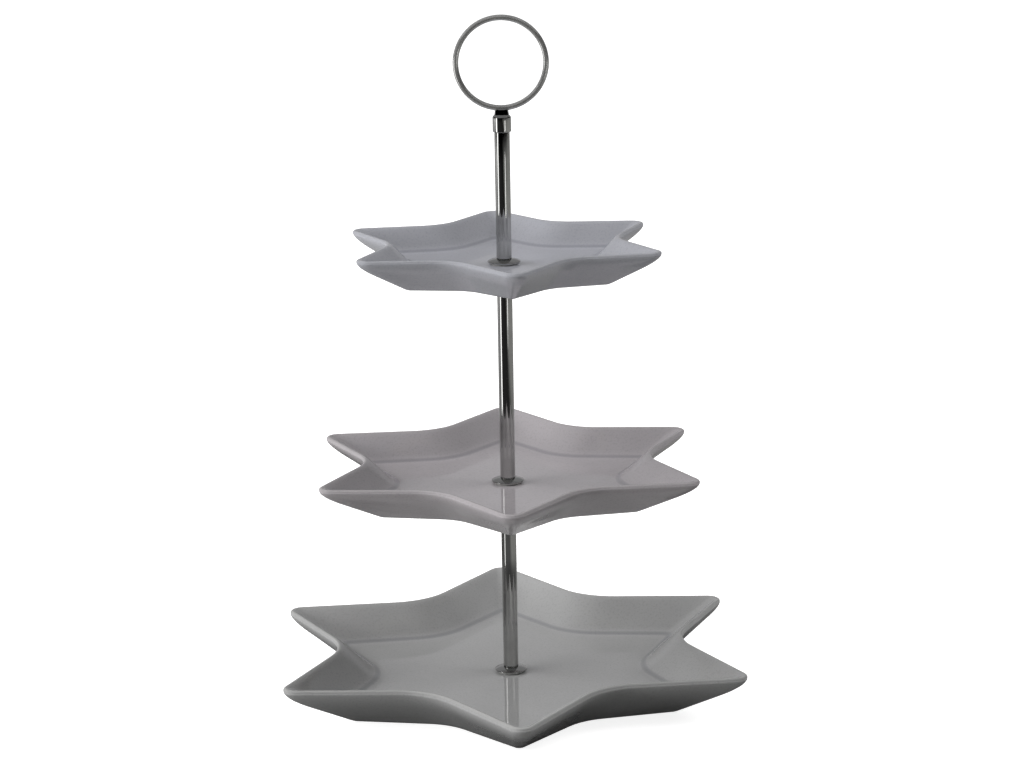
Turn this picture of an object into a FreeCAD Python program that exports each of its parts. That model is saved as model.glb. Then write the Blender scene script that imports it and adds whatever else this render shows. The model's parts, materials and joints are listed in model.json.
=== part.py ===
"""Three-tier cake stand: star-shaped porcelain plates on a chromed rod that screws together.

Millimetres, +Z up. The origin is on the rod's axis, in the plane of the bottom plate's foot.
One point of the bottom plate looks along -Y. Every piece is a separate solid in its own STEP file.
"""

import FreeCAD
import Part
import math
import os
from collections import namedtuple

V = FreeCAD.Vector

# Driving dimensions
# reach: axis to about the rounded point of the star
# floor: height of the dish's flat floor; rim and foot are measured up and down from it
# foot_reach: axis to the sharp point of the foot; turn: degrees from the bottom plate
Plate = namedtuple("Plate", "reach floor rim_height base_drop floor_thickness foot_reach turn")
BOTTOM = Plate(138.2, 8.7, 16.6, 8.7, 4.8, 98.8, 0.0)
MIDDLE = Plate(113.4, 113.8, 13.6, 7.1, 3.8, 77.7, -1.2)
TOP = Plate(91.0, 232.0, 12.3, 6.8, 3.6, 60.5, 1.7)
RING_CENTRE = 337.0         # height of the finger ring's centre
RING_OUTER_DIAMETER = 49.6
RING_WIRE = 3.0
FERRULE_BOTTOM = 301.4
FERRULE_DIAMETER = 9.6
ROD_DIAMETER = 8.0
THREAD_DIAMETER = 4.0       # M4 screws hold the rods together

# A star outline: sharp tip, sharp valley and their roundings, as shares of a plate's reach
Star = namedtuple("Star", "tip valley tip_round valley_round")
RIM_STAR = Star(1.034, 0.645, 0.0, 0.26)        # its points are rounded by TIP_ROUND instead
CREASE_STAR = Star(0.765, 0.496, 0.03, 0.26)
FOOT_STAR = Star(1.0, 0.697, 0.031, 0.33)      # shares of the foot's own reach
POINTS = 6
HALF_PITCH = math.pi / POINTS

# Plate wall and rim
TIP_ROUND = 6.8             # all rims have the same rounding at their points
WALL_CURVE = (              # share of the way out and of the way up, from foot to rim
    (0.0, 0.0), (0.63, 0.50), (0.907, 0.757), (1.0, 0.93), (1.0, 1.0),
)
RIM_THICKNESS = 2.6
RIM_ROUND = 1.1
FOOT_WIDTH = 5.0
FOOT_ROUND = 0.8
HOLE_RADIUS = 2.4

# Stacked hardware at each plate
GASKET_THICKNESS = 0.8
GASKET_RADIUS = 7.2
CAP_RADIUS = 8.6            # domed chrome washer on top of a plate
CAP_HEIGHT = 2.0
CAP_EDGE = 0.7
CAP_SEAT_RADIUS = 4.4
UNDER_WASHER_RADIUS = 7.6
UNDER_WASHER_THICKNESS = 1.0
BASE_WASHER_THICKNESS = 0.6
BOLT_HEAD_RADIUS = 5.0
BOLT_HEAD_HEIGHT = 1.8
BOLT_SLOT_WIDTH = 1.0
BOLT_SLOT_DEPTH = 0.9

# Rods, inserts and studs
ROD_WALL = 0.7
ROD_CHAMFER = 0.25
INSERT_LENGTH = 12.0
ENGAGEMENT = 7.0            # thread length held at each end of a stud
THREAD_RADIUS = THREAD_DIAMETER / 2
THREAD_CLEARANCE = 0.05
WASHER_BORE_RADIUS = THREAD_RADIUS + 0.15


def offset_star(star, inward):
    """The same star with every side moved inward by one distance."""
    half_tip = math.atan2(
        star.valley * math.sin(HALF_PITCH), star.tip - star.valley * math.cos(HALF_PITCH)
    )
    return Star(
        star.tip - inward / math.sin(half_tip),
        star.valley - inward / math.sin(half_tip + HALF_PITCH),
        max(star.tip_round - inward, 0.6),
        star.valley_round + inward,
    )


def scaled_star(star, reach):
    """A star in shares of the reach, turned into millimetres."""
    return Star(*[share * reach for share in star])


def polar(radius, angle, height):
    return V(radius * math.cos(angle), radius * math.sin(angle), height)


def rounded_corner(before, corner, after, radius):
    """Start, middle and end of the arc that rounds a corner."""
    to_before = (before - corner).normalize()
    to_after = (after - corner).normalize()
    half = to_before.getAngle(to_after) / 2
    bisector = (to_before + to_after).normalize()
    start = corner + to_before * (radius / math.tan(half))
    end = corner + to_after * (radius / math.tan(half))
    middle = corner + bisector * (radius / math.sin(half) - radius)
    return start, middle, end


def star_wire(star, height, turn=0.0):
    """A closed star outline of straight sides joined by arcs, one point towards -Y."""
    corners = []
    for point in range(POINTS):
        angle = math.radians(turn) - math.pi / 2 + 2 * HALF_PITCH * point
        corners.append((polar(star.tip, angle, height), star.tip_round))
        corners.append((polar(star.valley, angle + HALF_PITCH, height), star.valley_round))
    arcs = []
    for index, (corner, radius) in enumerate(corners):
        before = corners[index - 1][0]
        after = corners[(index + 1) % len(corners)][0]
        arcs.append(rounded_corner(before, corner, after, radius))
    edges = []
    for index, (start, middle, end) in enumerate(arcs):
        edges.append(Part.Arc(start, middle, end).toShape())
        next_start = arcs[(index + 1) % len(arcs)][0]
        edges.append(Part.LineSegment(end, next_start).toShape())
    return Part.Wire(edges)


def star_prism(star, low, high, turn):
    return Part.Face(star_wire(star, low, turn)).extrude(V(0, 0, high - low))


def star_taper(lower, low, upper, high, turn):
    return Part.makeLoft([star_wire(lower, low, turn), star_wire(upper, high, turn)], True, True)


def blended_star(first, second, share):
    """The star that lies a share of the way from one star to another."""
    return Star(*[a + (b - a) * share for a, b in zip(first, second)])


def cylinder(radius, low, high):
    return Part.makeCylinder(radius, high - low, V(0, 0, low))


def ring_of(outer_radius, inner_radius, low, high):
    return cylinder(outer_radius, low, high).cut(cylinder(inner_radius, low, high))


def revolved(outline):
    """A solid turned about the Z axis from (radius, height) corners."""
    points = [V(radius, 0, height) for radius, height in outline]
    wire = Part.makePolygon(points + points[:1])
    return Part.Face(wire).revolve(V(0, 0, 0), V(0, 0, 1), 360)


def level_edges(shape, height):
    """The edges of a shape that lie in one level plane."""
    box = [edge.BoundBox for edge in shape.Edges]
    return [
        edge for edge, b in zip(shape.Edges, box)
        if abs(b.ZMin - height) < 1e-4 and abs(b.ZMax - height) < 1e-4
    ]


def star_bowl(foot, base, outer, rim, turn):
    """The plate's outside: a wall that rises steeper and steeper from the foot to the rim."""
    stations = []
    for out, up in WALL_CURVE:
        stations.append(star_wire(blended_star(foot, outer, out), base + up * (rim - base), turn))
    return Part.makeLoft(stations, True, True)


def plate(size):
    """A star-shaped dish: flat floor, flaring wall, thin rounded rim and recessed underside."""
    rim = size.floor + size.rim_height
    base = size.floor - size.base_drop
    underside = size.floor - size.floor_thickness
    outer = scaled_star(RIM_STAR, size.reach)._replace(tip_round=TIP_ROUND)
    inner = offset_star(outer, RIM_THICKNESS)
    foot = scaled_star(FOOT_STAR, size.foot_reach)
    crease = scaled_star(CREASE_STAR, size.reach)
    body = star_bowl(foot, base, outer, rim, size.turn)
    body = body.cut(star_taper(crease, size.floor, inner, rim, size.turn))
    body = body.makeFillet(RIM_ROUND, level_edges(body, rim))
    body = body.makeFillet(FOOT_ROUND, level_edges(body, base))
    body = body.cut(star_prism(offset_star(foot, FOOT_WIDTH), base, underside, size.turn))
    return body.cut(cylinder(HOLE_RADIUS, base, rim))


def domed_washer(low):
    """Chrome washer with a thin edge, domed up to the flat seat that the rod stands on."""
    high = low + CAP_HEIGHT
    edge_top = low + CAP_EDGE
    crown = Part.Arc(
        V(CAP_RADIUS, 0, edge_top),
        V(0.5 * (CAP_RADIUS + CAP_SEAT_RADIUS), 0, low + 0.79 * CAP_HEIGHT),
        V(CAP_SEAT_RADIUS, 0, high),
    ).toShape()
    sides = Part.makePolygon([
        V(CAP_SEAT_RADIUS, 0, high),
        V(WASHER_BORE_RADIUS, 0, high),
        V(WASHER_BORE_RADIUS, 0, low),
        V(CAP_RADIUS, 0, low),
        V(CAP_RADIUS, 0, edge_top),
    ])
    outline = Part.Wire([crown] + sides.Edges)
    return Part.Face(outline).revolve(V(0, 0, 0), V(0, 0, 1), 360)


def gasket(low):
    return ring_of(GASKET_RADIUS, WASHER_BORE_RADIUS, low, low + GASKET_THICKNESS)


def under_washer(low):
    return ring_of(UNDER_WASHER_RADIUS, WASHER_BORE_RADIUS, low, low + UNDER_WASHER_THICKNESS)


def rod_tube(low, high):
    """Chromed tube with lightly chamfered ends."""
    radius = ROD_DIAMETER / 2
    bore = radius - ROD_WALL
    return revolved([
        (bore, low), (radius - ROD_CHAMFER, low), (radius, low + ROD_CHAMFER),
        (radius, high - ROD_CHAMFER), (radius - ROD_CHAMFER, high), (bore, high),
    ])


def insert(low):
    """Threaded plug pressed into the end of a rod tube."""
    radius = ROD_DIAMETER / 2 - ROD_WALL
    return ring_of(radius, THREAD_RADIUS + THREAD_CLEARANCE, low, low + INSERT_LENGTH)


def stud(low, high):
    """Threaded stud with chamfered ends."""
    lead = 0.5
    return revolved([
        (0, low), (THREAD_RADIUS - lead, low), (THREAD_RADIUS, low + lead),
        (THREAD_RADIUS, high - lead), (THREAD_RADIUS - lead, high), (0, high),
    ])


def base_bolt(head_low, tip):
    """Slotted low-head bolt that holds the bottom plate from below."""
    head_high = head_low + BOLT_HEAD_HEIGHT
    lead = 0.5
    bolt = revolved([
        (0, head_low), (BOLT_HEAD_RADIUS - 0.8, head_low), (BOLT_HEAD_RADIUS, head_low + 0.8),
        (BOLT_HEAD_RADIUS, head_high), (THREAD_RADIUS, head_high), (THREAD_RADIUS, tip - lead),
        (THREAD_RADIUS - lead, tip), (0, tip),
    ])
    corner = V(-BOLT_HEAD_RADIUS, -BOLT_SLOT_WIDTH / 2, head_low)
    return bolt.cut(Part.makeBox(2 * BOLT_HEAD_RADIUS, BOLT_SLOT_WIDTH, BOLT_SLOT_DEPTH, corner))


def ring_handle():
    """Finger ring of round wire, standing upright and facing -Y."""
    path_radius = (RING_OUTER_DIAMETER - RING_WIRE) / 2
    return Part.makeTorus(path_radius, RING_WIRE / 2, V(0, 0, RING_CENTRE), V(0, 1, 0))


def handle_ferrule(seat, ring):
    """Turned ferrule under the ring: bored for its stud, waisted, and grooved to hold the wire."""
    radius = FERRULE_DIAMETER / 2
    top = RING_CENTRE - (RING_OUTER_DIAMETER - RING_WIRE) / 2
    waist = top - 3.5
    body = revolved([
        (0, seat), (radius - 0.4, seat), (radius, seat + 0.4), (radius, waist - 1.0),
        (radius - 1.0, waist), (radius - 1.4, top - 0.5), (radius - 1.9, top), (0, top),
    ])
    body = body.cut(cylinder(THREAD_RADIUS + THREAD_CLEARANCE, seat, seat + ENGAGEMENT))
    return body.cut(ring)


def plate_stack(name, size):
    """A plate between its gaskets, with the domed washer above; the seat for the next rod is on top."""
    underside = size.floor - size.floor_thickness
    return {
        name + "_plate": plate(size),
        name + "_under_gasket": gasket(underside - GASKET_THICKNESS),
        name + "_gasket": gasket(size.floor),
        name + "_washer": domed_washer(size.floor + GASKET_THICKNESS),
    }


def rod(name, low, high):
    """A rod tube with a threaded insert in each end."""
    return {
        name + "_rod": rod_tube(low, high),
        name + "_rod_foot": insert(low),
        name + "_rod_head": insert(high - INSERT_LENGTH),
    }


def build():
    cap_rise = GASKET_THICKNESS + CAP_HEIGHT
    under_stack = GASKET_THICKNESS + UNDER_WASHER_THICKNESS
    lower_low = BOTTOM.floor + cap_rise
    lower_high = MIDDLE.floor - MIDDLE.floor_thickness - under_stack
    middle_low = MIDDLE.floor + cap_rise
    middle_high = TOP.floor - TOP.floor_thickness - under_stack
    upper_low = TOP.floor + cap_rise
    upper_high = FERRULE_BOTTOM
    base_washer_high = BOTTOM.floor - BOTTOM.floor_thickness - GASKET_THICKNESS
    base_washer_low = base_washer_high - BASE_WASHER_THICKNESS
    ring = ring_handle()
    pieces = {}
    pieces.update(plate_stack("bottom", BOTTOM))
    pieces.update(plate_stack("middle", MIDDLE))
    pieces.update(plate_stack("top", TOP))
    pieces["base_washer"] = ring_of(
        UNDER_WASHER_RADIUS, WASHER_BORE_RADIUS, base_washer_low, base_washer_high
    )
    pieces["base_bolt"] = base_bolt(base_washer_low - BOLT_HEAD_HEIGHT, lower_low + ENGAGEMENT)
    pieces.update(rod("lower", lower_low, lower_high))
    pieces["middle_under_washer"] = under_washer(lower_high)
    pieces["middle_stud"] = stud(lower_high - ENGAGEMENT, middle_low + ENGAGEMENT)
    pieces.update(rod("middle", middle_low, middle_high))
    pieces["top_under_washer"] = under_washer(middle_high)
    pieces["upper_stud"] = stud(middle_high - ENGAGEMENT, upper_low + ENGAGEMENT)
    pieces.update(rod("upper", upper_low, upper_high))
    pieces["handle_stud"] = stud(upper_high - ENGAGEMENT, upper_high + ENGAGEMENT)
    pieces["handle_ferrule"] = handle_ferrule(upper_high, ring)
    pieces["ring_handle"] = ring
    return pieces


def main():
    os.makedirs("parts", exist_ok=True)
    for name, shape in build().items():
        solid = shape.Solids[0] if len(shape.Solids) == 1 else shape
        solid.exportStep("parts/" + name + ".step")
        print(name, len(shape.Solids), shape.isValid(), round(shape.Volume, 1))


main()
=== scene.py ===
"""Looks of the three-tier cake stand: glazed star plates, chromed rods and ring, light and camera."""

import json
import math
from collections import namedtuple

import bpy
from mathutils import Matrix, Vector


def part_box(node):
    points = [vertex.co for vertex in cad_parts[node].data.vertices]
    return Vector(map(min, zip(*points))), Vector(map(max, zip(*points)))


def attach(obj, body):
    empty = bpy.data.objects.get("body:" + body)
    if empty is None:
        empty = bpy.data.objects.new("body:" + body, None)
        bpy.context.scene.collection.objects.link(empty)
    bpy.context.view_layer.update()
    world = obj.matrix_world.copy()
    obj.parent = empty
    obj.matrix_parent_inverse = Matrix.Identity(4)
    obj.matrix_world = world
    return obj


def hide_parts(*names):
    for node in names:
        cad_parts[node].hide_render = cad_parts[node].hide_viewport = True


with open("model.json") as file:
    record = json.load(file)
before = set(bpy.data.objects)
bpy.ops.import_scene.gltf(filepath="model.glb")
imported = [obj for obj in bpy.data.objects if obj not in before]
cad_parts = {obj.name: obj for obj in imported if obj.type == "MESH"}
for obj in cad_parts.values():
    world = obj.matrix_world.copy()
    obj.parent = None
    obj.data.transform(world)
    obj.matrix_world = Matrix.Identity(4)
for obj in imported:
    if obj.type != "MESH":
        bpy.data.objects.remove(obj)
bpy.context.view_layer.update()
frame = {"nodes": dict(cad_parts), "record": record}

MM = 0.001
TAU = 2 * math.pi

# Star outlines as shares of a plate's reach: tip, valley, tip rounding, valley rounding
RIM_STAR = (1.034, 0.645, 0.0, 0.26)        # its points are rounded by TIP_ROUND instead
CREASE_STAR = (0.765, 0.496, 0.03, 0.26)
FOOT_STAR = (1.0, 0.697, 0.031, 0.33)      # shares of the foot's own reach
POINTS = 6
HALF_PITCH = math.pi / POINTS
TIP_STEPS = 8           # spans round a point, round a valley and along a side
VALLEY_STEPS = 10
SIDE_STEPS = 10

# Plates: sizes of each in millimetres, as the CAD has them
Plate = namedtuple("Plate", "reach floor rim_height base_drop floor_thickness foot_reach turn")
PLATES = {
    "bottom": Plate(138.2, 8.7, 16.6, 8.7, 4.8, 98.8, 0.0),
    "middle": Plate(113.4, 113.8, 13.6, 7.1, 3.8, 77.7, -1.2),
    "top": Plate(91.0, 232.0, 12.3, 6.8, 3.6, 60.5, 1.7),
}
TIP_ROUND = 6.8 * MM
LEAST_TIP_ROUND = 0.6 * MM
RIM_THICKNESS = 2.6 * MM
RIM_ROUND = 1.25 * MM
FOOT_WIDTH = 5.0 * MM
FOOT_ROUND = 1.2 * MM
HOLE_RADIUS = 2.4 * MM
CREASE_ROUND = 5.0 * MM

# The outer wall goes straight, then bends upright: shares of the way out and of the way up
WALL_STRAIGHT = (0.63, 0.50)
WALL_CORNER = (1.0, 0.79)
WALL_UPRIGHT = (1.0, 0.94)
WALL_BEND = 0.5         # share of the wall's steps where the bend starts
FOOT_CORNER = 0.06      # share of the wall that rounds over into the foot
RIM_ROLL = 0.16         # share of the inner wall that rolls over into the rim

# Where the lines of a plate's skin lie: shares of each stretch, and numbers of steps
UNDERSIDE_SPREAD = (0.15, 0.4, 0.7, 0.95)       # from the hole to the foot
FOOT_SIDE = ((0.15, 0.0), (0.85, 0.6))          # down the foot's inner side, with how bare it is
FOOT_INSET_SHARE = 0.1                          # across the face that the foot stands on
INNER_WALL_SPREAD = (0.25, 0.35, 0.45, 0.55, 0.65)
FLOOR_SPREAD = (0.06, 0.15, 0.3, 0.5, 0.7, 0.85, 0.95)      # from the crease to the hole
CORNER_STEPS = 4
WALL_STEPS = 16
RIM_STEPS = 6
CREASE_STEPS = 8

# Marks that the glaze reads: how bare the hole's edge is, how worn the rim is where it starts,
# and how fast the bare foot and the worn rim fade
HOLE_BARE = 0.3
RIM_WEAR = 0.2
FOOT_FADE = 1.5
RIM_FADE = 1.6

# Metalwork
RING_WIRE = 3.0 * MM
RING_STEPS = 144
WIRE_STEPS = 20
LATHE_STEPS = 64
CORNER_SHARE = 0.4      # the most of a side that a rounded corner takes
ROD_WALL = 0.7 * MM
ROD_EDGE_ROUND = 0.3 * MM
WASHER_SEAT = 4.4 * MM
WASHER_BORE = 2.15 * MM
WASHER_EDGE = 0.7 * MM
WASHER_CHAMFER = 0.15 * MM
DOME_INSET = 0.1 * MM       # the dome starts this far in from, and above, the washer's edge
DOME_SHOULDER = (0.5, 0.86)     # shares of the way in and of the way up
DOME_STEPS = 10
TURNING_GAP = 0.03 * MM     # keeps a washer's seat clear of the rod that stands on it
FERRULE_BORE = 2.05 * MM
FERRULE_VENT = 0.41 * MM
FERRULE_DEPTH = 7.0 * MM
FERRULE_ROUND = 0.35 * MM
# the ferrule above its straight part: distance in from its radius and down from its top
FERRULE_NECK = (
    (0.0, 4.5 * MM),
    (1.0 * MM, 3.5 * MM),
    (1.4 * MM, 0.5 * MM),
    (1.9 * MM, 0.0),
)
THREAD_PITCH = 0.7 * MM
THREAD_DEPTH = 0.4 * MM
THREAD_FADE = 1.0 * MM
STUD_CHAMFER = 0.5 * MM
STUD_STEPS = 24
STUD_RINGS_PER_TURN = 6

# Glaze: the two shades of its clouding, then specks, the painted shade in the crease and the thin rim
GLAZE_CLOUD = ((0.324, 0.322, 0.327), (0.350, 0.347, 0.352))
GLAZE_SPECK = (0.26, 0.255, 0.265)
# the colour of the painted shade in the crease
GLAZE_CREASE_SHADE = (0.17, 0.17, 0.19)
GLAZE_THIN = (0.34, 0.335, 0.33)
BARE_CLAY = (0.52, 0.49, 0.45, 1)
BARE_ROUGHNESS = 0.55       # what bare clay adds to the glaze's own roughness
GLAZE_IOR = 2.0
# each plate's glaze came out a shade different
GLAZE_TINT = {"bottom": (0.99, 1.0, 0.98), "middle": (1.02, 0.97, 0.99), "top": (0.97, 0.99, 1.06)}

# Metals: two shades of tarnish, least and most roughness, scale, stretch and depth of the marks,
# and how metallic the shader is
Metal = namedtuple("Metal", "dark light smooth rough grain stretch depth metallic")
METALS = {
    "rod_chrome": Metal(
        dark=(0.50, 0.50, 0.49, 1), light=(0.58, 0.58, 0.57, 1), smooth=0.04, rough=0.09,
        grain=400.0, stretch=(1, 1, 0.1), depth=0.02 * MM, metallic=1.0,
    ),
    "screw_steel": Metal(
        dark=(0.46, 0.46, 0.47, 1), light=(0.56, 0.56, 0.57, 1), smooth=0.25, rough=0.4,
        grain=900.0, stretch=(1, 1, 3), depth=0.04 * MM, metallic=1.0,
    ),
    "insert_brass": Metal(
        dark=(0.62, 0.46, 0.20, 1), light=(0.74, 0.58, 0.30, 1), smooth=0.2, rough=0.35,
        grain=800.0, stretch=(1, 1, 3), depth=0.04 * MM, metallic=1.0,
    ),
    "ring_wire": Metal(
        dark=(0.50, 0.50, 0.49, 1), light=(0.62, 0.62, 0.61, 1), smooth=0.12, rough=0.20,
        grain=600.0, stretch=(1, 1, 1), depth=0.03 * MM, metallic=0.75,
    ),
}

RUBBER_SHADES = ((0.42, 0.42, 0.40, 1), (0.52, 0.52, 0.50, 1))

# Stage surfaces: the floor that the camera sees, the table that gloss sees and the table that
# throws light up under the plates lie just below one another
FLOOR_DEPTH = 0.2 * MM
TABLE_DEPTH = 0.4 * MM
BOUNCE_DEPTH = 0.6 * MM
FLOOR_HALF = 30
TABLE_HALF = 9
MATT = 0.9
FLOOR_SHADES = ((0.60, 0.60, 0.60, 1), (0.62, 0.62, 0.62, 1))
FLOOR_GLOW = 0.85
TABLE_FRONT = (0.02, 0.02, 0.02, 1)
TABLE_BACK = (0.30, 0.30, 0.30, 1)
TABLE_RIGHT = (0.28, 0.28, 0.27, 1)
TABLE_BAND = ((0.09, 0.09, 0.09, 1), (0.27, 0.27, 0.26, 1))     # its left and its right side
BOUNCE_LEFT = (0.30, 0.30, 0.29, 1)
BOUNCE_RIGHT = (0.10, 0.10, 0.10, 1)
BOUNCE_NEAR = (0.03, 0.03, 0.03, 1)
BOUNCE = 2.9
BACKDROP = 0.92

# Panels that only reflections see: name, centre, two half sides, strength
GLOWS = (
    ("back_glow", (0, 3.0, 0.6), (4, 0, 0), (0, 0, 0.6), 0.35),
    ("high_glow", (0, 3.0, 2.35), (4, 0, 0), (0, 0, 1.15), 0.25),
    ("ceiling_glow", (0, 0, 3.5), (6, 0, 0), (0, 6, 0), 0.20),
)
GLOW_COLOUR = (0.98, 0.98, 1.0, 1)

# Soft lamps: name, place, what they face, width, height, watts
STAND_MIDDLE = (0, 0, 0.18)
SOFT_LIGHTS = (
    ("sky", (0, 1.0, 4.0), (0, 1.0, 0), 9.0, 9.0, 35),
    ("sky_left", (-3.0, 0.3, 3.0), STAND_MIDDLE, 3.0, 3.0, 144),
    ("sky_right", (3.0, 0.3, 3.0), STAND_MIDDLE, 3.0, 3.0, 110),
    ("left_front", (-2.8, -1.2, 0.8), STAND_MIDDLE, 1.5, 1.0, 54),
    ("left_behind", (-3.0, 0.5, 0.5), STAND_MIDDLE, 1.5, 0.8, 21),
    ("front", (0.0, -3.2, 1.3), STAND_MIDDLE, 2.5, 1.5, 4),
    ("high_front", (0.0, -1.8, 3.6), STAND_MIDDLE, 3.0, 2.0, 15),
)

# Strip lights that fall on the metalwork only: name, degrees right of the front, distance,
# height of the centre, width, height, watts
ROD_STRIPS = (
    ("left_strip", -72, 0.50, 0.16, 0.15, 0.36, 0.37),
    ("low_left_strip", -66, 0.25, 0.02, 0.05, 0.06, 0.015),
    ("high_right_strip", 38, 0.80, 0.155, 0.07, 0.15, 0.082),
    ("low_right_strip", 34, 0.88, 0.05, 0.20, 0.05, 0.014),
)

# Camera: a long lens in front of the stand, above its top, rolled a little clockwise
CAMERA_PLACE = (-56.9 * MM, -1553.1 * MM, 539.3 * MM)
CAMERA_PAN = 2.21           # degrees to the right, down and anticlockwise
CAMERA_TILT = 13.461
CAMERA_ROLL = -0.95
LENS = 106.7
SENSOR_WIDTH = 36.0
VIEW_DEPTH = 50.0


# ---------- geometry helpers ----------

def lerp(a, b, t):
    return a + (b - a) * t


def make_piece(name, verts, faces, material, body, replaced, marks=None):
    """A smooth mesh that rides on a body, stands for a CAD node and may carry point marks."""
    mesh = bpy.data.meshes.new(name)
    mesh.from_pydata(verts, [], faces)
    mesh.validate()
    mesh.shade_smooth()
    for mark, values in (marks or {}).items():
        layer = mesh.attributes.new(mark, "FLOAT", "POINT")
        layer.data.foreach_set("value", values)
    mesh.materials.append(material)
    piece = bpy.data.objects.new(name, mesh)
    bpy.context.scene.collection.objects.link(piece)
    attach(piece, body)
    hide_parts(replaced)
    return piece


def skin_rings(count, around):
    """Quads between neighbouring closed rings of the same number of points."""
    faces = []
    for ring in range(count - 1):
        for i in range(around):
            j = (i + 1) % around
            low, high = ring * around, (ring + 1) * around
            faces.append((low + i, low + j, high + j, high + i))
    return faces


def closed_skin(count, around):
    """The same, with the last ring joined to the first."""
    faces = skin_rings(count, around)
    last = (count - 1) * around
    for i in range(around):
        j = (i + 1) % around
        faces.append((last + i, last + j, j, i))
    return faces


def lathe(name, profile, material, body):
    """A turned piece from (radius, height) points, replacing the CAD node of the same name."""
    verts = []
    for radius, height in profile:
        for i in range(LATHE_STEPS):
            angle = TAU * i / LATHE_STEPS
            verts.append((radius * math.cos(angle), radius * math.sin(angle), height))
    faces = closed_skin(len(profile), LATHE_STEPS)
    return make_piece(name + "_turned", verts, faces, material, body, name)


def rounded(profile, radius):
    """A closed profile with each corner replaced by a small curve."""
    points = []
    for index, corner in enumerate(profile):
        corner = Vector(corner)
        before = Vector(profile[index - 1]) - corner
        after = Vector(profile[(index + 1) % len(profile)]) - corner
        start = corner + before.normalized() * min(radius, before.length * CORNER_SHARE)
        end = corner + after.normalized() * min(radius, after.length * CORNER_SHARE)
        for step in range(CORNER_STEPS + 1):
            t = step / CORNER_STEPS
            points.append(tuple(lerp(lerp(start, corner, t), lerp(corner, end, t), t)))
    return points


# ---------- star plates ----------

def scaled_star(star, reach):
    return tuple(share * reach for share in star)


def offset_star(star, inward):
    """The same star with every side moved inward by one distance."""
    tip, valley, tip_round, valley_round = star
    half_tip = math.atan2(valley * math.sin(HALF_PITCH), tip - valley * math.cos(HALF_PITCH))
    return (
        tip - inward / math.sin(half_tip),
        valley - inward / math.sin(half_tip + HALF_PITCH),
        max(tip_round - inward, LEAST_TIP_ROUND),
        valley_round + inward,
    )


def direction(angle):
    return Vector((math.cos(angle), math.sin(angle)))


def star_outline(star, turn):
    """Points round a rounded star; each outline has the same number, in the same order."""
    tip, valley, tip_round, valley_round = star
    corners = []
    for point in range(POINTS):
        angle = math.radians(turn) - math.pi / 2 + 2 * HALF_PITCH * point
        corners.append((direction(angle) * tip, tip_round, TIP_STEPS))
        corners.append((direction(angle + HALF_PITCH) * valley, valley_round, VALLEY_STEPS))
    arcs = []
    for index, (corner, radius, steps) in enumerate(corners):
        before = (corners[index - 1][0] - corner).normalized()
        after = (corners[(index + 1) % len(corners)][0] - corner).normalized()
        half = before.angle(after) / 2
        centre = corner + (before + after).normalized() * (radius / math.sin(half))
        start = corner + before * (radius / math.tan(half)) - centre
        end = corner + after * (radius / math.tan(half)) - centre
        sweep = start.angle_signed(end)
        arc = []
        for step in range(steps + 1):
            bend = -sweep * step / steps
            arc.append(centre + Matrix.Rotation(bend, 2) @ start)
        arcs.append(arc)
    outline = []
    for index, arc in enumerate(arcs):
        outline.extend(arc)
        next_start = arcs[(index + 1) % len(arcs)][0]
        for step in range(1, SIDE_STEPS):
            outline.append(lerp(arc[-1], next_start, step / SIDE_STEPS))
    return outline


def blend_outlines(a, b, t):
    return [lerp(p, q, t) for p, q in zip(a, b)]


def circle_like(outline, radius):
    return [point.normalized() * radius for point in outline]


def bezier(a, b, c, t):
    return lerp(lerp(a, b, t), lerp(b, c, t), t)


def bent_outline(a, b, c, t):
    return [bezier(p, q, r, t) for p, q, r in zip(a, b, c)]


def wall_point(share):
    """How far out and up the outer wall is, from the foot (0) to the upright edge (1)."""
    if share < WALL_BEND:
        t = share / WALL_BEND
        return WALL_STRAIGHT[0] * t, WALL_STRAIGHT[1] * t
    t = (share - WALL_BEND) / (1 - WALL_BEND)
    return tuple(bezier(a, b, c, t) for a, b, c in zip(WALL_STRAIGHT, WALL_CORNER, WALL_UPRIGHT))


# A plate's heights and outlines; crease_share is the share of the inner wall that the crease takes
Shape = namedtuple(
    "Shape",
    "floor rim base underside outer rounded_outer rounded_inner inner"
    " foot foot_inset foot_inner crease crease_end crease_share hole",
)


def plate_shape(size):
    floor = size.floor * MM
    tip, valley, _, valley_round = scaled_star(RIM_STAR, size.reach * MM)
    outer_star = (tip, valley, TIP_ROUND, valley_round)
    foot_star = scaled_star(FOOT_STAR, size.foot_reach * MM)
    crease_star = scaled_star(CREASE_STAR, size.reach * MM)
    inner_wall_length = math.sqrt(2) * size.rim_height * MM     # it leans at about 45 degrees

    def outline(star, inward=0.0):
        return star_outline(offset_star(star, inward) if inward else star, size.turn)

    crease = outline(crease_star)
    return Shape(
        floor=floor,
        rim=floor + size.rim_height * MM,
        base=floor - size.base_drop * MM,
        underside=floor - size.floor_thickness * MM,
        outer=outline(outer_star),
        rounded_outer=outline(outer_star, RIM_ROUND),
        rounded_inner=outline(outer_star, RIM_THICKNESS - RIM_ROUND),
        inner=outline(outer_star, RIM_THICKNESS),
        foot=outline(foot_star),
        foot_inset=outline(foot_star, FOOT_ROUND),
        foot_inner=outline(foot_star, FOOT_WIDTH),
        crease=crease,
        crease_end=outline(crease_star, CREASE_ROUND),
        crease_share=CREASE_ROUND / inner_wall_length,
        hole=circle_like(crease, HOLE_RADIUS),
    )


def skin_ring(outline, height, rim=0.0, foot=0.0, crease=0.0):
    """A closed line of a plate's skin, with its marks: worn rim, bare foot and painted shade in the
    crease.
    """
    return outline, height, (rim, foot, crease)


def wall_ring(shape, share):
    out, up = wall_point(share)
    return skin_ring(blend_outlines(shape.foot, shape.outer, out), lerp(shape.base, shape.rim, up))


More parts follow.
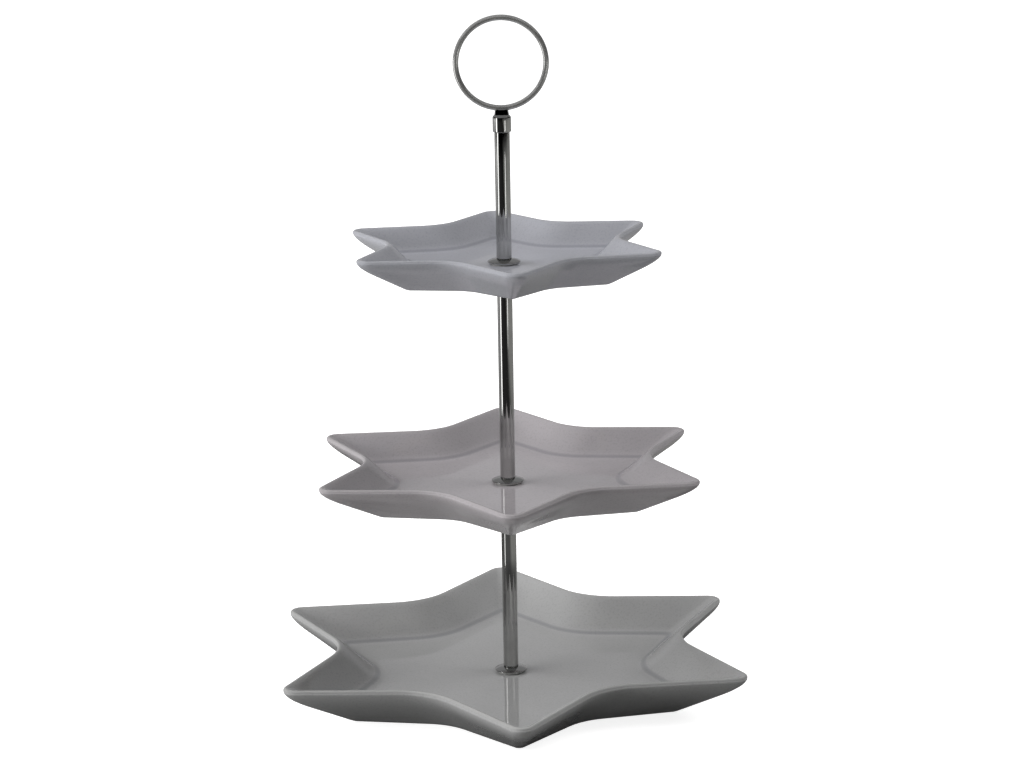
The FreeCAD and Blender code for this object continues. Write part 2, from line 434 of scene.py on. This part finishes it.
def underside_rings(shape):
    """From the hole below, across the recessed underside, down the foot and round its edge."""
    rings = [skin_ring(shape.hole, shape.underside, foot=HOLE_BARE)]
    for t in UNDERSIDE_SPREAD:
        rings.append(skin_ring(blend_outlines(shape.hole, shape.foot_inner, t), shape.underside))
    rings.append(skin_ring(shape.foot_inner, shape.underside))
    for t, bare in FOOT_SIDE:
        rings.append(skin_ring(shape.foot_inner, lerp(shape.underside, shape.base, t), foot=bare))
    stand = blend_outlines(shape.foot_inner, shape.foot_inset, FOOT_INSET_SHARE)
    rings.append(skin_ring(stand, shape.base, foot=1.0))
    rings.append(skin_ring(shape.foot_inset, shape.base, foot=1.0))
    corner_end, corner_height, _ = wall_ring(shape, FOOT_CORNER)
    for step in range(1, CORNER_STEPS + 1):
        t = step / CORNER_STEPS
        outline = bent_outline(shape.foot_inset, shape.foot, corner_end, t)
        height = bezier(shape.base, shape.base, corner_height, t)
        rings.append(skin_ring(outline, height, foot=max(0.0, 1.0 - FOOT_FADE * t)))
    return rings


def outer_rings(shape):
    """Up the outer wall, which bends upright, and over the outside of the rounded rim."""
    rings = [wall_ring(shape, step / WALL_STEPS) for step in range(2, WALL_STEPS + 1)]
    upright = lerp(shape.base, shape.rim, WALL_UPRIGHT[1])
    for step in range(RIM_STEPS + 1):
        angle = math.pi / 2 * step / RIM_STEPS
        outline = blend_outlines(shape.rounded_outer, shape.outer, math.cos(angle))
        height = lerp(upright, shape.rim, math.sin(angle))
        rings.append(skin_ring(outline, height, rim=lerp(RIM_WEAR, 1.0, step / RIM_STEPS)))
    return rings


def inner_rings(shape):
    """Over the inside of the rim, down the inner wall, round the crease and in to the hole."""
    rings = []
    roll_end = blend_outlines(shape.inner, shape.crease, RIM_ROLL)
    for step in range(RIM_STEPS + 1):
        t = step / RIM_STEPS
        outline = bent_outline(shape.rounded_inner, shape.inner, roll_end, t)
        height = bezier(shape.rim, shape.rim, lerp(shape.rim, shape.floor, RIM_ROLL), t)
        rings.append(skin_ring(outline, height, rim=max(0.0, 1.0 - RIM_FADE * t)))
    for t in INNER_WALL_SPREAD:
        outline = blend_outlines(shape.inner, shape.crease, t)
        rings.append(skin_ring(outline, lerp(shape.rim, shape.floor, t)))
    start = blend_outlines(shape.inner, shape.crease, 1 - shape.crease_share)
    start_height = lerp(shape.rim, shape.floor, 1 - shape.crease_share)
    for step in range(CREASE_STEPS + 1):
        t = step / CREASE_STEPS
        outline = bent_outline(start, shape.crease, shape.crease_end, t)
        height = bezier(start_height, shape.floor, shape.floor, t)
        # the crease mark places painted shade, darkest halfway round the crease
        rings.append(skin_ring(outline, height, crease=math.sin(math.pi * t)))
    for t in FLOOR_SPREAD:
        rings.append(skin_ring(blend_outlines(shape.crease_end, shape.hole, t), shape.floor))
    rings.append(skin_ring(shape.hole, shape.floor))
    return rings


def make_plate(name, material):
    """A plate's closed skin, from the hole below, round the rim, to the hole above."""
    shape = plate_shape(PLATES[name])
    rings = underside_rings(shape) + outer_rings(shape) + inner_rings(shape)
    verts = []
    marks = {"rim": [], "foot": [], "crease": []}
    for outline, height, values in rings:
        for point in outline:
            verts.append((point.x, point.y, height))
            for mark, value in zip(marks.values(), values):
                mark.append(value)
    faces = closed_skin(len(rings), len(shape.hole))
    node = name + "_plate"
    return make_piece(name + "_star_plate", verts, faces, material, node, node, marks)


# ---------- metalwork ----------

def rod_piece(name, material, body):
    """Chromed tube with softly broken ends."""
    low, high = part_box(name)
    radius, bore = high.x, high.x - ROD_WALL
    corners = [(bore, low.z), (radius, low.z), (radius, high.z), (bore, high.z)]
    return lathe(name, rounded(corners, ROD_EDGE_ROUND), material, body)


def domed_washer(name, material, body):
    """Chromed washer with an upright edge and a domed top."""
    low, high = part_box(name)
    radius = high.x
    top = high.z - TURNING_GAP
    edge = low.z + WASHER_EDGE
    profile = [
        (WASHER_BORE, low.z),
        (radius - WASHER_CHAMFER, low.z),
        (radius, low.z + WASHER_CHAMFER),
        (radius, edge - DOME_INSET),
    ]
    start, end = (radius - DOME_INSET, edge), (WASHER_SEAT, top)
    shoulder = (lerp(radius, WASHER_SEAT, DOME_SHOULDER[0]), lerp(low.z, top, DOME_SHOULDER[1]))
    for step in range(DOME_STEPS + 1):
        t = step / DOME_STEPS
        profile.append(tuple(bezier(a, b, c, t) for a, b, c in zip(start, shoulder, end)))
    profile.append((WASHER_BORE, top))
    return lathe(name, profile, material, body)


def ring_piece(material):
    """The finger ring, a closed loop of round wire."""
    low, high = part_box("ring_handle")
    centre = (low + high) / 2
    wire = RING_WIRE / 2
    path = (high.x - low.x) / 2 - wire
    verts = []
    for i in range(RING_STEPS):
        a = TAU * i / RING_STEPS
        for j in range(WIRE_STEPS):
            b = TAU * j / WIRE_STEPS
            reach = path + wire * math.cos(b)
            verts.append((reach * math.cos(a), wire * math.sin(b), centre.z + reach * math.sin(a)))
    faces = []
    for i in range(RING_STEPS):
        here, ahead = i * WIRE_STEPS, (i + 1) % RING_STEPS * WIRE_STEPS
        for j in range(WIRE_STEPS):
            k = (j + 1) % WIRE_STEPS
            faces.append((here + j, here + k, ahead + k, ahead + j))
    return make_piece("finger_ring", verts, faces, material, "handle", "ring_handle")


def ferrule_piece(material):
    """Turned ferrule: straight, then drawn in to a neck under the ring, with a stepped bore."""
    low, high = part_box("handle_ferrule")
    radius = high.x
    corners = [(FERRULE_BORE, low.z), (radius, low.z)]
    corners += [(radius - inward, high.z - down) for inward, down in FERRULE_NECK]
    corners += [
        (FERRULE_VENT, high.z),
        (FERRULE_VENT, low.z + FERRULE_DEPTH),
        (FERRULE_BORE, low.z + FERRULE_DEPTH),
    ]
    return lathe("handle_ferrule", rounded(corners, FERRULE_ROUND), material, "handle")


def stud_piece(name, material, body):
    """Stud with a real helical thread that fades out at its chamfered ends."""
    low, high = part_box(name)
    radius = high.x
    count = int((high.z - low.z) / THREAD_PITCH * STUD_RINGS_PER_TURN)
    verts = []
    for ring in range(count + 1):
        height = lerp(low.z, high.z, ring / count)
        to_end = min(height - low.z, high.z - height)
        fade = min(1.0, to_end / THREAD_FADE)
        crest = radius - STUD_CHAMFER * (1.0 - min(1.0, to_end / STUD_CHAMFER))
        for i in range(STUD_STEPS):
            phase = (height / THREAD_PITCH - i / STUD_STEPS) % 1.0
            dip = abs(2 * phase - 1) * THREAD_DEPTH * fade
            reach = crest - dip
            angle = TAU * i / STUD_STEPS
            verts.append((reach * math.cos(angle), reach * math.sin(angle), height))
    faces = skin_rings(count + 1, STUD_STEPS)
    faces.append(tuple(reversed(range(STUD_STEPS))))
    faces.append(tuple(count * STUD_STEPS + i for i in range(STUD_STEPS)))
    return make_piece(name + "_threaded", verts, faces, material, body, name)


# ---------- materials ----------

def new_material(name):
    material = bpy.data.materials.new(name)
    material.use_nodes = True
    tree = material.node_tree
    shader = tree.nodes["Principled BSDF"]
    place = tree.nodes.new("ShaderNodeTexCoord").outputs["Object"]
    return material, tree, shader, place


def noise(tree, place, scale, detail, stretch=None):
    """A noise texture over the object's own coordinates, stretched if asked."""
    if stretch:
        mapping = tree.nodes.new("ShaderNodeMapping")
        mapping.inputs["Scale"].default_value = stretch
        tree.links.new(place, mapping.inputs["Vector"])
        place = mapping.outputs["Vector"]
    texture = tree.nodes.new("ShaderNodeTexNoise")
    texture.inputs["Scale"].default_value = scale
    texture.inputs["Detail"].default_value = detail
    tree.links.new(place, texture.inputs["Vector"])
    return texture.outputs["Fac"]


def span(tree, value, low=0.0, high=1.0, start=0.3, end=0.7):
    """Maps a value from start to end, by default a noise's middle range, onto low to high."""
    node = tree.nodes.new("ShaderNodeMapRange")
    node.inputs["From Min"].default_value = start
    node.inputs["From Max"].default_value = end
    node.inputs["To Min"].default_value = low
    node.inputs["To Max"].default_value = high
    tree.links.new(value, node.inputs["Value"])
    return node.outputs["Result"]


def mixed(tree, factor, first, second):
    """Colour mix; each side is a colour or another node's output."""
    node = tree.nodes.new("ShaderNodeMix")
    node.data_type = "RGBA"
    tree.links.new(factor, node.inputs["Factor"])
    for socket, side in (("A", first), ("B", second)):
        target = [s for s in node.inputs if s.name == socket and s.type == "RGBA"][0]
        if isinstance(side, tuple):
            target.default_value = side
        else:
            tree.links.new(side, target)
    return [s for s in node.outputs if s.type == "RGBA"][0]


def attribute(tree, name):
    node = tree.nodes.new("ShaderNodeAttribute")
    node.attribute_name = name
    return node.outputs["Fac"]


def along(tree, place, axis):
    """How far along an axis a point lies."""
    axes = tree.nodes.new("ShaderNodeSeparateXYZ")
    tree.links.new(place, axes.inputs["Vector"])
    return axes.outputs[axis]


def from_middle(tree, place):
    """How far a point lies from the object's origin."""
    length = tree.nodes.new("ShaderNodeVectorMath")
    length.operation = "LENGTH"
    tree.links.new(place, length.inputs[0])
    return length.outputs["Value"]


def product(tree, first, second):
    node = tree.nodes.new("ShaderNodeMath")
    node.operation = "MULTIPLY"
    tree.links.new(first, node.inputs[0])
    tree.links.new(second, node.inputs[1])
    return node.outputs[0]


def bump(tree, shader, height, strength, distance):
    node = tree.nodes.new("ShaderNodeBump")
    node.inputs["Strength"].default_value = strength
    node.inputs["Distance"].default_value = distance
    tree.links.new(height, node.inputs["Height"])
    tree.links.new(node.outputs["Normal"], shader.inputs["Normal"])


def glaze_material(name, tint):
    """Glossy glaze, clouded and specked, with painted shade darkening the crease; thin on the rim,
    off the foot.
    """
    material, tree, shader, place = new_material(name)

    def tinted(colour):
        return tuple(channel * share for channel, share in zip(colour, tint)) + (1.0,)

    cloud = span(tree, noise(tree, place, scale=28.0, detail=4.0))
    colour = mixed(tree, cloud, *[tinted(shade) for shade in GLAZE_CLOUD])
    specks = noise(tree, place, scale=900.0, detail=2.0)
    speck = span(tree, specks, high=0.5, start=0.5, end=0.75)
    colour = mixed(tree, speck, colour, tinted(GLAZE_SPECK))
    # painted shade: the glaze is darkened along the crease where wall meets floor
    crease_shade = span(tree, attribute(tree, "crease"), high=0.55, start=0.80, end=1.0)
    colour = mixed(tree, crease_shade, colour, tinted(GLAZE_CREASE_SHADE))
    thin = span(tree, attribute(tree, "rim"), high=0.45, start=0.0, end=1.0)
    colour = mixed(tree, thin, colour, tinted(GLAZE_THIN))
    bare = attribute(tree, "foot")
    colour = mixed(tree, bare, colour, BARE_CLAY)
    tree.links.new(colour, shader.inputs["Base Color"])
    rough = span(tree, noise(tree, place, scale=60.0, detail=3.0), low=0.03, high=0.06)
    rough_foot = tree.nodes.new("ShaderNodeMath")
    rough_foot.operation = "MULTIPLY_ADD"
    tree.links.new(bare, rough_foot.inputs[0])
    rough_foot.inputs[1].default_value = BARE_ROUGHNESS
    tree.links.new(rough, rough_foot.inputs[2])
    tree.links.new(rough_foot.outputs[0], shader.inputs["Roughness"])
    shader.inputs["IOR"].default_value = GLAZE_IOR
    ripple = noise(tree, place, scale=60.0, detail=2.0)
    bump(tree, shader, ripple, strength=0.08, distance=0.4 * MM)
    return material


def metal_material(name):
    """Polished or satin metal with uneven polish and fine marks."""
    metal = METALS[name]
    material, tree, shader, place = new_material(name)
    shader.inputs["Metallic"].default_value = metal.metallic
    tarnish = span(tree, noise(tree, place, scale=120.0, detail=4.0))
    tree.links.new(mixed(tree, tarnish, metal.dark, metal.light), shader.inputs["Base Color"])
    marks = noise(tree, place, metal.grain, detail=5.0, stretch=metal.stretch)
    tree.links.new(span(tree, marks, metal.smooth, metal.rough), shader.inputs["Roughness"])
    bump(tree, shader, marks, strength=0.15, distance=metal.depth)
    return material


def rubber_material():
    """Pale soft rubber with a powdery surface."""
    material, tree, shader, place = new_material("gasket_rubber")
    grain = noise(tree, place, scale=1500.0, detail=4.0)
    colour = mixed(tree, span(tree, grain), *RUBBER_SHADES)
    tree.links.new(colour, shader.inputs["Base Color"])
    tree.links.new(span(tree, grain, low=0.6, high=0.8), shader.inputs["Roughness"])
    bump(tree, shader, grain, strength=0.3, distance=0.1 * MM)
    return material


def floor_material():
    """Pale studio floor that glows a little, as if lit from all sides."""
    material, tree, shader, place = new_material("studio_floor")
    shade = span(tree, noise(tree, place, scale=3.0, detail=2.0))
    tree.links.new(mixed(tree, shade, *FLOOR_SHADES), shader.inputs["Base Color"])
    shader.inputs["Emission Color"].default_value = (1, 1, 1, 1)
    shader.inputs["Emission Strength"].default_value = FLOOR_GLOW
    shader.inputs["Roughness"].default_value = MATT
    shader.inputs["Specular IOR Level"].default_value = 0.1
    return material


def table_material():
    """The table that glaze and chrome mirror: dark in front, paler behind and on the right.

    A band round the stand has greys of its own, dark on the left and paler on the right.
    """
    material, tree, shader, place = new_material("dark_table")
    x, y, reach = along(tree, place, "X"), along(tree, place, "Y"), from_middle(tree, place)
    colour = mixed(tree, span(tree, y, start=-0.3, end=0.5), TABLE_FRONT, TABLE_BACK)
    colour = mixed(tree, span(tree, x, start=0.35, end=0.75), colour, TABLE_RIGHT)
    beyond = span(tree, reach, start=0.22, end=0.28)
    within = span(tree, reach, low=1.0, high=0.0, start=0.40, end=0.48)
    band_colour = mixed(tree, span(tree, x, start=0.05, end=0.22), *TABLE_BAND)
    colour = mixed(tree, product(tree, beyond, within), colour, band_colour)
    tree.links.new(colour, shader.inputs["Base Color"])
    shader.inputs["Roughness"].default_value = MATT
    shader.inputs["Specular IOR Level"].default_value = 0.0
    return material


def bounce_material():
    """Light that the table throws up under the plates: little near the stand, most on the left."""
    material, tree, shader, place = new_material("bounce_table")
    x, reach = along(tree, place, "X"), from_middle(tree, place)
    colour = mixed(tree, span(tree, x, start=-0.6, end=0.6), BOUNCE_LEFT, BOUNCE_RIGHT)
    near = span(tree, reach, low=1.0, high=0.0, start=0.12, end=0.55)
    colour = mixed(tree, near, colour, BOUNCE_NEAR)
    shader.inputs["Base Color"].default_value = (0.2, 0.2, 0.2, 1)
    tree.links.new(colour, shader.inputs["Emission Color"])
    shader.inputs["Emission Strength"].default_value = BOUNCE
    shader.inputs["Roughness"].default_value = MATT
    return material


def glow_material(name, strength):
    """An even studio panel that only reflections see."""
    material, _, shader, _ = new_material(name)
    shader.inputs["Base Color"].default_value = (0, 0, 0, 1)
    shader.inputs["Specular IOR Level"].default_value = 0.0
    shader.inputs["Emission Color"].default_value = GLOW_COLOUR
    shader.inputs["Emission Strength"].default_value = strength
    return material


# ---------- stage, light and camera ----------

def plane(name, centre, across, up, material):
    """A flat rectangle given by its centre and two half-side vectors."""
    centre, across, up = Vector(centre), Vector(across), Vector(up)
    corners = [centre - across - up, centre + across - up, centre + across + up, centre - across + up]
    mesh = bpy.data.meshes.new(name)
    mesh.from_pydata([tuple(c) for c in corners], [], [(0, 1, 2, 3)])
    mesh.materials.append(material)
    card = bpy.data.objects.new(name, mesh)
    bpy.context.scene.collection.objects.link(card)
    return card


def table_plane(name, half, depth, material):
    """A level square below the stand's foot."""
    return plane(name, (0, 0, -depth), (half, 0, 0), (0, half, 0), material)


def area_light(name, place, target, width, height, power):
    data = bpy.data.lights.new(name, "AREA")
    data.shape = "RECTANGLE"
    data.size = width
    data.size_y = height
    data.energy = power
    lamp = bpy.data.objects.new(name, data)
    lamp.location = place
    lamp.rotation_euler = (Vector(target) - Vector(place)).to_track_quat("-Z", "Y").to_euler()
    bpy.context.scene.collection.objects.link(lamp)
    return lamp


def backdrop():
    """A pale world beyond the floor, which the camera sees and which lights nothing."""
    world = bpy.data.worlds.new("studio")
    bpy.context.scene.world = world
    world.cycles_visibility.diffuse = False
    world.cycles_visibility.glossy = False
    world.cycles_visibility.transmission = False
    world.cycles_visibility.scatter = False
    world.use_nodes = True
    background = world.node_tree.nodes["Background"]
    background.inputs["Color"].default_value = (1.0, 1.0, 1.0, 1)
    background.inputs["Strength"].default_value = BACKDROP


def make_camera():
    pan, tilt, roll = (math.radians(angle) for angle in (CAMERA_PAN, CAMERA_TILT, CAMERA_ROLL))
    forward = Vector((
        math.sin(pan) * math.cos(tilt), math.cos(pan) * math.cos(tilt), -math.sin(tilt),
    ))
    level = forward.cross(Vector((0, 0, 1))).normalized()
    upright = level.cross(forward)
    right = level * math.cos(roll) + upright * math.sin(roll)
    up = upright * math.cos(roll) - level * math.sin(roll)
    data = bpy.data.cameras.new("camera")
    data.lens = LENS
    data.sensor_width = SENSOR_WIDTH
    data.clip_end = VIEW_DEPTH
    camera = bpy.data.objects.new("camera", data)
    turn = Matrix((right, up, -forward)).transposed()
    camera.matrix_world = Matrix.Translation(Vector(CAMERA_PLACE)) @ turn.to_4x4()
    bpy.context.scene.collection.objects.link(camera)
    bpy.context.scene.camera = camera


def paint_cad_nodes(finishes):
    """Gives every CAD node the finish of its material slot, as some of them stay in view."""
    for part in frame["record"]["subparts"]:
        node = frame["nodes"][part["node"]]
        material = finishes[part["material_slot"]]
        node.data.materials.clear()
        node.data.materials.append(material)


def build():
    """Makes every piece and returns the collection of chromed ones, for the strip lights."""
    chrome, steel = metal_material("rod_chrome"), metal_material("screw_steel")
    paint_cad_nodes({
        "glaze": glaze_material("glaze", GLAZE_TINT["bottom"]),
        "rod_chrome": chrome,
        "screw_steel": steel,
        "insert_brass": metal_material("insert_brass"),
        "gasket_rubber": rubber_material(),
    })
    for name in PLATES:
        make_plate(name, glaze_material(name + "_glaze", GLAZE_TINT[name]))
    metal = []
    for name, body in (
        ("lower_rod", "column"), ("middle_rod", "middle_rod"), ("upper_rod", "upper_rod")
    ):
        metal.append(rod_piece(name, chrome, body))
    for name, body in (
        ("bottom_washer", "column"), ("middle_washer", "middle_plate"), ("top_washer", "top_plate")
    ):
        metal.append(domed_washer(name, chrome, body))
    for name in ("middle_stud", "upper_stud", "handle_stud"):
        stud_piece(name, steel, name)
    metal.append(ferrule_piece(chrome))
    metal.append(ring_piece(metal_material("ring_wire")))
    metalwork = bpy.data.collections.new("metalwork")
    for piece in metal:
        metalwork.objects.link(piece)
    return metalwork


def seen_only_by(thing, camera=False, diffuse=False, glossy=False):
    """Hides a stage surface from all rays but the given ones; it never casts a shadow."""
    thing.visible_camera = camera
    thing.visible_diffuse = diffuse
    thing.visible_glossy = glossy
    thing.visible_transmission = False
    thing.visible_shadow = False


def surfaces():
    """Floor, mirrored table, upward light and glow panels."""
    floor = table_plane("floor", FLOOR_HALF, FLOOR_DEPTH, floor_material())
    seen_only_by(floor, camera=True)
    table = table_plane("table", TABLE_HALF, TABLE_DEPTH, table_material())
    seen_only_by(table, glossy=True)
    bounce = table_plane("bounce", TABLE_HALF, BOUNCE_DEPTH, bounce_material())
    seen_only_by(bounce, diffuse=True)
    for name, centre, across, up, strength in GLOWS:
        seen_only_by(plane(name, centre, across, up, glow_material(name, strength)), glossy=True)


def lights(metalwork):
    """Soft lamps for everything, which gloss doesn't mirror, and strips for the metalwork."""
    for light in SOFT_LIGHTS:
        area_light(*light).visible_glossy = False
    for name, azimuth, distance, height, width, tall, power in ROD_STRIPS:
        toward = Vector((math.sin(math.radians(azimuth)), -math.cos(math.radians(azimuth)), 0))
        place = toward * distance + Vector((0, 0, height))
        strip = area_light(name, place, (0, 0, height), width, tall, power)
        strip.visible_camera = False
        strip.light_linking.receiver_collection = metalwork


metalwork = build()
surfaces()
lights(metalwork)
backdrop()
make_camera()
bpy.context.scene.view_settings.view_transform = "Standard"
